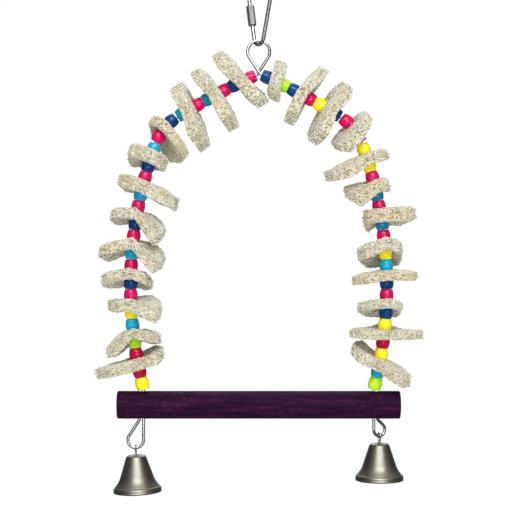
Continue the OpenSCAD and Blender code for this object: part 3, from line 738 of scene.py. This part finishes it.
def roughen(piece, centre, axis, grain):
    """Pushes the mass in and out, and keeps how deep each point lies, for painted shade."""
    points, normals = mesh_arrays(piece.data)
    out = points - centre
    height = out @ axis
    flat = out - np.outer(height, axis)
    radius = np.linalg.norm(flat, axis=1)
    outward = unit(flat)
    across = np.cross(axis, grain)
    stretched = np.stack([(points @ grain) / ridge_length, (points @ across) / ridge_width,
                          (points @ axis) / ridge_width], 1)
    lumps = np.array([noise.noise(p / lump_size) for p in map(Vector, points)])
    ridges = 1 - 2 * np.abs(np.array([noise.noise(Vector(p)) for p in stretched]))
    cells = np.array([noise.voronoi(Vector(p / pore_size))[0][0] for p in points])
    tears = np.array([noise.noise(Vector(p / notch_size)) for p in points])
    pits = 1 - smooth_step(*pore_edge, cells)
    at_rim = smooth_step(*rim_turn, np.sum(normals * outward, 1)) * smooth_step(*rim_band, radius)
    push = lumps * lump_rise + ridges * ridge_rise - pits * pore_sink
    near_hub = 1 - smooth_step(hub_radius, hub_radius + hub_blend, radius)
    push = push * (1 - near_hub) + np.minimum(push, 0) * hub_calm * near_hub
    tear = smooth_step(*tear_edge, tears) * notch_sink * at_rim
    points += normals * push[:, None] - outward * tear[:, None]
    piece.data.vertices.foreach_set("co", points.ravel())
    # Painted shade: the pits, the hollows between ridges and the low lumps are darkened in the finish.
    depth = np.clip(pits * pit_painted_shade + (0.5 - ridges / 2) * ridge_painted_shade - lumps * lump_painted_shade, 0, 1)
    painted_shade_attribute = piece.data.attributes.new("depth", "FLOAT", "POINT")
    painted_shade_attribute.data.foreach_set("value", depth.astype(np.float32))
    piece.data.polygons.foreach_set("use_smooth", [True] * len(piece.data.polygons))
    piece.data.update()


print(f"mass: {voxel / mm:.2f} mm faces, pores of {pore_size / mm:.1f} mm")

# %% [markdown]
# ### Tubes
# Cords, hairs, frays and strays are all thin tubes with closed, thinner ends. Thousands of them go
# on each chip, so a whole set is reckoned at once as arrays and not as one object each. A hair
# that would leave the frame's box is shortened towards its root.

# %% Tubes
tube_sides = 5
tip_steps, tip_share = 2, 0.2
shortest_share = 0.05


def tubes(paths, ups, radii):
    """Points and faces of thin closed tubes: paths and ups are tubes by steps by three."""
    count, steps, _ = paths.shape
    ahead = unit(np.gradient(paths, axis=1))
    aside = unit(np.cross(ahead, ups))
    above = np.cross(aside, ahead)
    from_end = np.minimum(np.arange(steps), np.arange(steps)[::-1])
    taper = np.minimum(1, from_end / tip_steps + tip_share)
    turn = np.arange(tube_sides) * 2 * math.pi / tube_sides
    ring = (aside[:, :, None] * np.cos(turn)[:, None] + above[:, :, None] * np.sin(turn)[:, None])
    points = paths[:, :, None] + ring * (radii[:, None] * taper)[:, :, None, None]
    index = np.arange(count * steps * tube_sides).reshape(count, steps, tube_sides)
    near, far = index[:, :-1], index[:, 1:]
    quads = np.stack([near, np.roll(near, -1, 2), np.roll(far, -1, 2), far], -1).reshape(-1, 4)
    return points.reshape(-1, 3), quads.tolist() + index[:, 0, ::-1].tolist() + index[:, -1].tolist()


box_margin = 0.009
box_low = np.array(cad_low) - box_margin * np.array(cad_high - cad_low)
box_high = np.array(cad_high) + box_margin * np.array(cad_high - cad_low)


def shortened(paths):
    """Shortens each hair that would leave the frame's box by more than the margin."""
    root = paths[:, :1]
    reach = paths - root
    room = np.where(reach > 0, box_high - root, root - box_low)
    fits = room / np.maximum(np.abs(reach), no_length)
    share = np.clip(fits, shortest_share, 1).min(axis=(1, 2))
    return root + reach * share[:, None, None]


print(f"box left to the fibres: {box_margin:.1%} wider on each side than the frame")

# %% [markdown]
# ### Cords
# A cord starts somewhere on the mass and is walked over it in short steps, each time back onto
# the nearest face. On the faces it follows the chip's grain, and on the edge it follows the rim.
# A share of the cords runs across instead, and all of them sway and rise a little, so that they
# weave and long thin gaps open between them. Some chips in the photograph look combed, with
# nearly all cords one way, and the others look felted, so there are two weaves. Each holds the
# share of cords that cross, how far they sway, and how far they rise.

# %% Cords
cord_count = 780
cord_steps = 12
cord_step = 0.7 * mm
cord_thick = (0.18 * mm, 0.31 * mm)
cord_proud = 0.12 * mm
combed = {("right", 2), ("right", 3), ("right", 4), ("right", 5)}
combed_weave = (0.12, 0.24 * mm, 0.15 * mm)
felted_weave = (0.34, 0.34 * mm, 0.24 * mm)
wave_length = 3.4 * mm
lift_pace = 0.7
clear_radius = 5.4 * mm
edge_limit = 0.45
cord_inertia, cord_wander = 1.4, 0.20


def cords(tree, points, normals, centre, axis, grain, weave, draw):
    """Cords that follow the mass: along the rim on its edge, and along the grain on its faces."""
    cross_share, wave_reach, weave_rise = weave
    flat = points - centre
    radius = np.linalg.norm(flat - np.outer(flat @ axis, axis), axis=1)
    starts = draw.choice(np.flatnonzero(radius > clear_radius), cord_count)
    axis, grain, centre = Vector(axis), Vector(grain), Vector(centre)
    paths, ups = [], []
    for start in starts:
        point, up = Vector(points[start]), Vector(normals[start])
        way = Vector(draw.normal(0, 1, 3))
        crossing = draw.random() < cross_share
        path, path_ups = [], []
        for step in range(cord_steps):
            path.append(point)
            path_ups.append(up)
            edge = 1 - abs(up.dot(axis))
            lead = axis.cross(up) if edge > edge_limit else grain
            lead = up.cross(lead) if crossing else lead
            lead = (lead - up * lead.dot(up)).normalized()
            lead = lead if lead.dot(way) > 0 else -lead
            hold = 0.0 if step == 0 else cord_inertia
            way = (way * hold + lead + Vector(draw.normal(0, cord_wander, 3))).normalized()
            found, normal, _, _ = tree.find_nearest(point + way * cord_step)
            off = found - centre
            if (off - axis * off.dot(axis)).length < clear_radius:
                way = -way
                continue
            point, up = found, normal
            way = (way - up * way.dot(up)).normalized()
        paths.append(path)
        ups.append(path_ups)
    paths, ups = np.array(paths), unit(np.array(ups))
    aside = unit(np.cross(unit(np.gradient(paths, axis=1)), ups))
    along = np.arange(cord_steps) * cord_step * 2 * math.pi / wave_length
    sway = np.sin(along + draw.uniform(0, 2 * math.pi, (cord_count, 1)))
    lift = np.sin(lift_pace * along + draw.uniform(0, 2 * math.pi, (cord_count, 1)))
    sideways = (sway * wave_reach)[..., None]
    upward = (cord_proud + weave_rise * lift)[..., None]
    paths = paths + aside * sideways + ups * upward
    return np.clip(paths, box_low, box_high), ups, draw.uniform(*cord_thick, cord_count)


print("cords on a chip:", cord_count)

# %% [markdown]
# ### Hairs on the rim
# Where the rim is torn, short stubs and longer curled hairs stick out, and some stand together in
# tufts. A particle system would spread them evenly, and here they have to keep to the rim. They
# grow from points of the mass that face outwards, and a long hair is thinner than a stub. A small
# tilt keeps a hair's up direction from lying along the hair.

# %% Hairs on the rim
hair_count = 520
hair_steps = 5
hair_reach = (0.24 * mm, 0.66 * mm)
hair_thick = (0.30 * mm, 0.13 * mm)
hair_spread, hair_curl, hair_bias = 0.42, 0.28, 1.5
hair_root = 0.3 * mm
rim_facing, rim_radius = 0.45, 8 * mm
tuft_count, tuft_hairs, tuft_radius = 26, 5, 1.8 * mm
tilt = 0.01


def fringe(points, normals, centre, axis, draw):
    """Blunt stubs and thinner curled hairs along the rim, some of them in tufts."""
    flat = points - centre
    flat = flat - np.outer(flat @ axis, axis)
    radius = np.linalg.norm(flat, axis=1)
    outward = unit(flat)
    rim = np.flatnonzero((np.sum(normals * outward, 1) > rim_facing) & (radius > rim_radius))
    tufts = draw.choice(rim, tuft_count)
    roots = []
    for tuft in tufts:
        near = rim[np.linalg.norm(points[rim] - points[tuft], axis=1) < tuft_radius]
        roots += list(draw.choice(near, tuft_hairs))
    roots += list(draw.choice(rim, hair_count - len(roots)))
    way = unit(outward[roots] + draw.normal(0, hair_spread, (hair_count, 3)))
    long = draw.random((hair_count, 1)) ** hair_bias
    reach = hair_reach[0] + long * (hair_reach[1] - hair_reach[0])
    thick = hair_thick[0] + long[:, 0] * (hair_thick[1] - hair_thick[0])
    curl = draw.normal(0, hair_curl, (hair_count, 3))
    path = [points[roots] - way * hair_root]
    for step in range(1, hair_steps):
        way = unit(way + curl)
        path.append(path[-1] + way * reach)
    ups = np.repeat(normals[roots][:, None], hair_steps, 1) + tilt
    return shortened(np.stack(path, 1)), ups, thick


print("hairs on a chip:", hair_count)

# %% [markdown]
# ### Frays and strays
# Ten chips end in loose fibres on one side. `frays` says which chips, and which way each end
# points, to the right and up. On every chip a few strands also stand round the middle, past the
# rims of the beads beside it. They run along the wire and not out from the rim, so they have a
# function of their own.

# %% Frays and strays
fray_count = 130
fray_reach = (0.35 * mm, 0.9 * mm)
fray_thick = (0.15 * mm, 0.24 * mm)
fray_depth, fray_root = 2.5 * mm, 0.5 * mm
fray_spread, fray_curl = 0.35, 0.3
frays = {
    ("left", 1): (0.75, -0.9), ("left", 3): (0.5, -1.0), ("left", 6): (1.0, -0.3),
    ("left", 8): (1.0, -0.1), ("left", 9): (-1.0, -0.1), ("left", 12): (-1.0, 0.0),
    ("right", 3): (-1.0, -0.5), ("right", 5): (-1.0, 0.1), ("right", 7): (-1.0, -0.6),
    ("right", 11): (1.0, 0.2)}
stray_count = 12
stray_ring = (5.0 * mm, 5.7 * mm)
stray_rise = (0.45 * mm, 0.85 * mm)
stray_thick = (0.12 * mm, 0.2 * mm)
stray_foot, stray_bow = 1.1 * mm, 0.05 * mm
stray_spread, stray_lean = 0.8, 0.45 * mm


def fray(points, normals, centre, way, draw):
    """Longer loose fibres at the end of a chip that points one way."""
    way = unit(np.array((way[0], 0.0, way[1])))
    reach = (points - centre) @ way
    end = np.flatnonzero(reach > reach.max() - fray_depth)
    roots = draw.choice(end, fray_count)
    lead = unit(way + draw.normal(0, fray_spread, (fray_count, 3)))
    curl = draw.normal(0, fray_curl, (fray_count, 3))
    length = fray_reach[0] + draw.random((fray_count, 1)) ** 2 * (fray_reach[1] - fray_reach[0])
    path = [points[roots] - lead * fray_root]
    for step in range(1, hair_steps):
        lead = unit(lead + curl)
        path.append(path[-1] + lead * length)
    ups = np.repeat(normals[roots][:, None], hair_steps, 1) + tilt
    return shortened(np.stack(path, 1)), ups, draw.uniform(*fray_thick, fray_count)


def strays(centre, axis, draw):
    """Thin strands round the middle that stand up past the rims of the neighbouring beads."""
    front = unit(np.cross(axis, np.cross((0.0, -1.0, 0.0), axis)))
    right = np.cross(axis, front)
    turn = draw.normal(0, stray_spread, (stray_count, 1))
    out = front * np.cos(turn) + right * np.sin(turn)
    tangent = np.cross(axis, out)
    hand = draw.choice((-1.0, 1.0), (stray_count, 1))
    ring = draw.uniform(*stray_ring, (stray_count, 1))
    rise = draw.uniform(*stray_rise, (stray_count, 1)) * hand
    lean = draw.normal(0, stray_lean, (stray_count, 1))
    path = []
    for step in range(hair_steps):
        away = out * (ring + stray_bow * step ** 2)
        climb = axis * (hand * stray_foot + rise * step)
        path.append(centre + away + climb + tangent * lean * step)
    ups = np.repeat(out[:, None], hair_steps, 1)
    return np.stack(path, 1), ups, draw.uniform(*stray_thick, stray_count)


print("frayed chips:", len(frays))

# %% [markdown]
# ### The net of one chip
# All the fibres of a chip become one mesh, because nothing in it moves on its own. Each fibre
# gets one tone that differs at random, and painted shade makes the loose ends a little darker
# than the cords. The finish reads it from the same attribute as the painted shade in the pits
# of the mass.

# %% The net of one chip
# Loose ends are darker than cords by painted shade, and the spread is a tone that differs at random.
cord_tone, loose_tone_with_painted_shade = 0.14, 0.34
tone_spread, tone_limit = 0.16, 0.8


def fibre_net(piece, name, centre, axis, grain, weave, torn, draw):
    """Every fibre of one chip as one mesh, with a tone for each and painted shade on loose ends."""
    points, normals = mesh_arrays(piece.data)
    faces = [tuple(p.vertices) for p in piece.data.polygons]
    tree = BVHTree.FromPolygons([Vector(p) for p in points], faces)
    groups = [
        cords(tree, points, normals, centre, axis, grain, weave, draw),
        fringe(points, normals, centre, axis, draw),
        strays(centre, axis, draw)]
    if torn:
        groups.append(fray(points, normals, centre, torn, draw))
    all_points, all_faces, tones = [], [], []
    for paths, ups, radii in groups:
        first = sum(len(group) for group in all_points)
        some_points, some_faces = tubes(paths, ups, radii)
        all_points.append(some_points)
        all_faces += [[corner + first for corner in face] for face in some_faces]
        middle = cord_tone if len(all_points) == 1 else loose_tone_with_painted_shade
        tone = np.clip(draw.normal(middle, tone_spread, len(paths)), 0, tone_limit)
        tones.append(np.repeat(tone, paths.shape[1] * tube_sides))
    net = link(name, mesh_from(name, np.concatenate(all_points), all_faces))
    tones = np.concatenate(tones).astype(np.float32)
    net.data.attributes.new("depth", "FLOAT", "POINT").data.foreach_set("value", tones)
    return net


print("tones from 0 to", tone_limit)

# %% [markdown]
# ### Dress the chips
# Both pieces of a chip ride its body and stand in for its plain solid. Every chip has its own
# draw of random numbers, set by its side and its number, so the same chip comes out the same each
# time. The grain turns a little from one chip to the next, as torn pieces would.

# %% Dress the chips
backward = np.array((0, 1, 0))
grain_turn = 0.4
total = 0
for side_number, side in enumerate(sides):
    for k in range(1, chips_per_side + 1):
        name = f"loofah_{side}_{k:02d}"
        joint = joints[f"{name}_turn"]
        centre, axis = np.array(joint["pos_m"]), np.array(joint["axis"])
        draw = np.random.default_rng(100 * side_number + k)
        spread = np.cross(axis, backward)
        grain = spread * math.cos(grain_turn * k) + backward * math.sin(grain_turn * k)
        grain = grain / np.linalg.norm(grain)
        mass = remeshed(f"{name}_mass", frame["nodes"][name])
        roughen(mass, centre, axis, grain)
        weave = combed_weave if (side, k) in combed else felted_weave
        net = fibre_net(mass, f"{name}_fibres", centre, axis, grain, weave, frays.get((side, k)), draw)
        strands = tan_fibre if (side, k) in tan_chips else fibre
        for piece, finish in ((mass, felt), (net, strands)):
            piece.data.materials.clear()
            piece.data.materials.append(finish)
            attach(piece, name)
            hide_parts(name)
            total += len(piece.data.polygons)
print("chips:", 2 * chips_per_side, "with", total, "faces")
